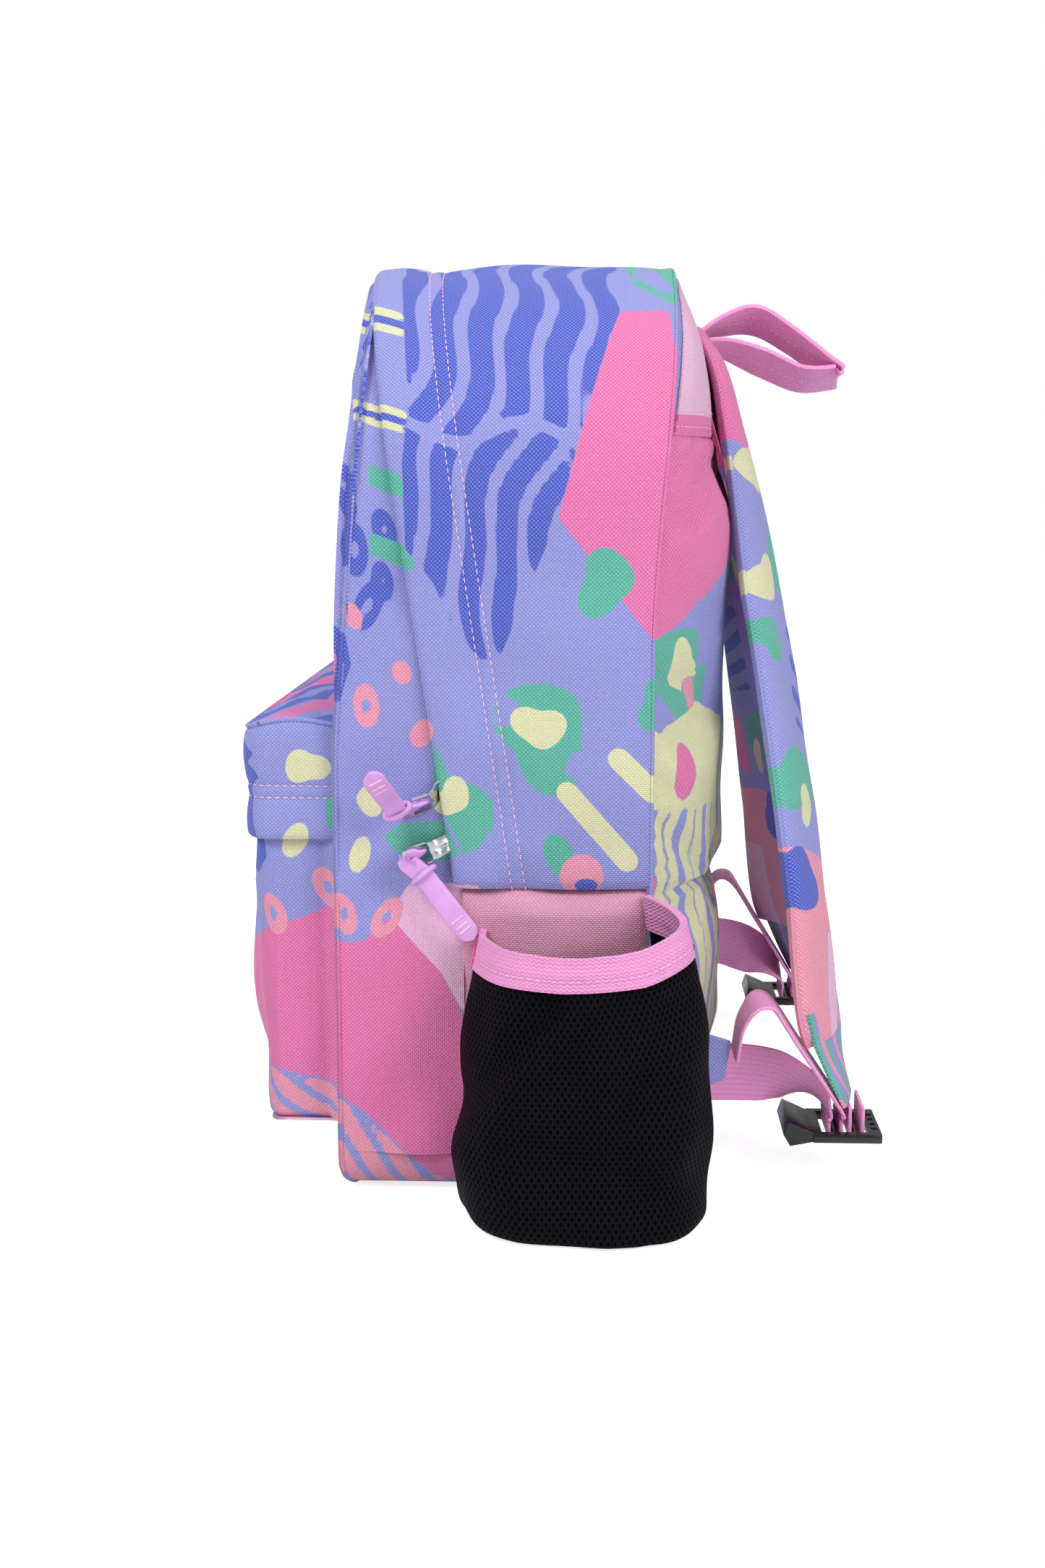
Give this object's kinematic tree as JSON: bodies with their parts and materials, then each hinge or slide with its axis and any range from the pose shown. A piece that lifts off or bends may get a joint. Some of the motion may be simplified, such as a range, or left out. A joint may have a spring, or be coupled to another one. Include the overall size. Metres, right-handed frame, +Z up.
{
  "type": "school backpack",
  "caption": "Soft arched school backpack with a hooded zip opening, zipped front pocket, elastic-topped mesh side pockets, padded straps and a webbing carry handle.",
  "frame": {"origin": "middle of the flat base", "axes": "+X towards the wearer's right, +Y from the front pocket towards the back panel and straps, +Z up"},
  "size_m": [0.4122, 0.2822, 0.394],
  "materials": {
    "printed_fabric": "coated plain-weave polyester with an all-over collage print",
    "pink_fabric": "coated plain-weave polyester, light pink",
    "lilac_fabric": "plain-weave polyester, lilac",
    "foam": "closed-cell foam",
    "webbing": "ribbed polyester webbing, pink-lilac",
    "black_mesh": "knitted spacer mesh",
    "elastic": "ribbed knitted elastic",
    "zip_tape": "woven tape with nylon coil",
    "silver_metal": "bright nickel plate",
    "lilac_rubber": "soft moulded rubber, satin",
    "black_plastic": "moulded acetal, satin"
  },
  "bodies": {
    "root": {"base_panel": "printed_fabric", "rear_gusset": "printed_fabric", "zipper_hood": "printed_fabric", "front_gusset_lower_right": "printed_fabric", "front_gusset_lower_left": "printed_fabric", "front_panel_lower": "printed_fabric", "back_panel": "printed_fabric", "back_foam": "foam", "back_yoke": "pink_fabric", "back_seam_binding": "zip_tape", "lower_side_panel_right": "pink_fabric", "lower_side_panel_left": "pink_fabric", "zip_tape_rear": "zip_tape", "zip_tape_front_lower_right": "zip_tape", "zip_tape_front_lower_left": "zip_tape", "zip_end_stop_right": "silver_metal", "zip_end_stop_left": "silver_metal", "pocket_panel": "printed_fabric", "pocket_bottom": "printed_fabric", "pocket_zip_tape_lower": "zip_tape", "mesh_pocket_right": "black_mesh", "mesh_pocket_left": "black_mesh", "elastic_rim_right": "elastic", "elastic_rim_left": "elastic", "wing_tab_right": "lilac_fabric", "wing_tab_left": "lilac_fabric", "webbing_anchor_right": "webbing", "webbing_anchor_left": "webbing"},
    "mouth_flap": {"front_panel_upper": "printed_fabric", "front_gusset_upper": "printed_fabric", "zip_tape_front_upper": "zip_tape"},
    "pocket_lid": {"pocket_band": "printed_fabric", "pocket_top": "printed_fabric", "pocket_zip_tape_upper": "zip_tape"},
    "upper_slider": {"main_slider_upper": "silver_metal"},
    "upper_puller": {"main_puller_upper": "silver_metal"},
    "upper_tab": {"main_pull_tab_upper": "lilac_rubber"},
    "lower_slider": {"main_slider_lower": "silver_metal"},
    "lower_puller": {"main_puller_lower": "silver_metal"},
    "lower_tab": {"main_pull_tab_lower": "lilac_rubber"},
    "pocket_slider": {"pocket_slider": "silver_metal"},
    "pocket_puller": {"pocket_puller": "silver_metal"},
    "pocket_tab": {"pocket_pull_tab": "lilac_rubber"},
    "grab_handle": {"grab_handle": "webbing"},
    "strap_right": {"strap_cover_right": "printed_fabric", "strap_foam_right": "foam", "strap_tail_right": "printed_fabric", "strap_end_loop_right": "webbing"},
    "ladder_lock_right": {"ladder_lock_right": "black_plastic", "webbing_turn_right": "webbing", "webbing_tail_right": "webbing"},
    "strap_left": {"strap_cover_left": "printed_fabric", "strap_foam_left": "foam", "strap_tail_left": "printed_fabric", "strap_end_loop_left": "webbing"},
    "ladder_lock_left": {"ladder_lock_left": "black_plastic", "webbing_turn_left": "webbing", "webbing_tail_left": "webbing"}
  },
  "joints": [
    {"name": "mouth_fold", "type": "hinge", "parent": "root", "child": "mouth_flap", "pos_m": [0, -0.0666, 0.2305], "axis": [1, 0, 0], "range_deg": [0, 70]},
    {"name": "pocket_lid_lift", "type": "hinge", "parent": "root", "child": "pocket_lid", "pos_m": [0, -0.0668, 0.203], "axis": [-1, 0, 0], "range_deg": [0, 30]},
    {"name": "upper_slider_run", "type": "slide", "parent": "root", "child": "upper_slider", "axis": [0, -0.1483, 0.9889], "range_m": [-0.004, 0.036]},
    {"name": "lower_slider_run", "type": "slide", "parent": "root", "child": "lower_slider", "axis": [0, -0.1483, 0.9889], "range_m": [-0.003, 0.009]},
    {"name": "upper_puller_swing", "type": "hinge", "parent": "upper_slider", "child": "upper_puller", "pos_m": [0.14775, -0.01105, 0.18201], "axis": [1, 0, 0], "range_deg": [-35, 8]},
    {"name": "lower_puller_swing", "type": "hinge", "parent": "lower_slider", "child": "lower_puller", "pos_m": [0.14775, -0.00753, 0.15851], "axis": [1, 0, 0], "range_deg": [-25, 0]},
    {"name": "upper_tab_swing", "type": "hinge", "parent": "upper_puller", "child": "upper_tab", "pos_m": [0.15375, -0.03423, 0.17265], "axis": [1, 0, 0], "range_deg": [0, 95]},
    {"name": "lower_tab_swing", "type": "hinge", "parent": "lower_puller", "child": "lower_tab", "pos_m": [0.15375, -0.03071, 0.14915], "axis": [1, 0, 0], "range_deg": [-50, 0]},
    {"name": "pocket_slider_run", "type": "slide", "parent": "pocket_lid", "child": "pocket_slider", "axis": [1, 0, 0], "range_m": [0, 0.25]},
    {"name": "pocket_puller_swing", "type": "hinge", "parent": "pocket_slider", "child": "pocket_puller", "pos_m": [-0.125, -0.10275, 0.167], "axis": [0, -1, 0], "range_deg": [-12, 12]},
    {"name": "pocket_tab_swing", "type": "hinge", "parent": "pocket_puller", "child": "pocket_tab", "pos_m": [-0.125, -0.10875, 0.142], "axis": [0, -1, 0], "range_deg": [-40, 40]},
    {"name": "handle_lift", "type": "hinge", "parent": "root", "child": "grab_handle", "pos_m": [0, 0.0885, 0.371], "axis": [1, 0, 0], "range_deg": [-35, 60]},
    {"name": "strap_swing_right", "type": "hinge", "parent": "root", "child": "strap_right", "pos_m": [0.045, 0.0892, 0.365], "axis": [1, 0, 0], "range_deg": [-2, 18], "deforming": ["webbing_anchor_right"]},
    {"name": "lock_tilt_right", "type": "hinge", "parent": "strap_right", "child": "ladder_lock_right", "pos_m": [0.107, 0.1582, 0.018], "axis": [1, 0, 0], "range_deg": [-12, 12], "deforming": ["webbing_anchor_right"]},
    {"name": "strap_swing_left", "type": "hinge", "parent": "root", "child": "strap_left", "pos_m": [-0.045, 0.0892, 0.365], "axis": [1, 0, 0], "range_deg": [-2, 18], "deforming": ["webbing_anchor_left"]},
    {"name": "lock_tilt_left", "type": "hinge", "parent": "strap_left", "child": "ladder_lock_left", "pos_m": [-0.107, 0.1582, 0.018], "axis": [1, 0, 0], "range_deg": [-12, 12], "deforming": ["webbing_anchor_left"]}
  ]
}
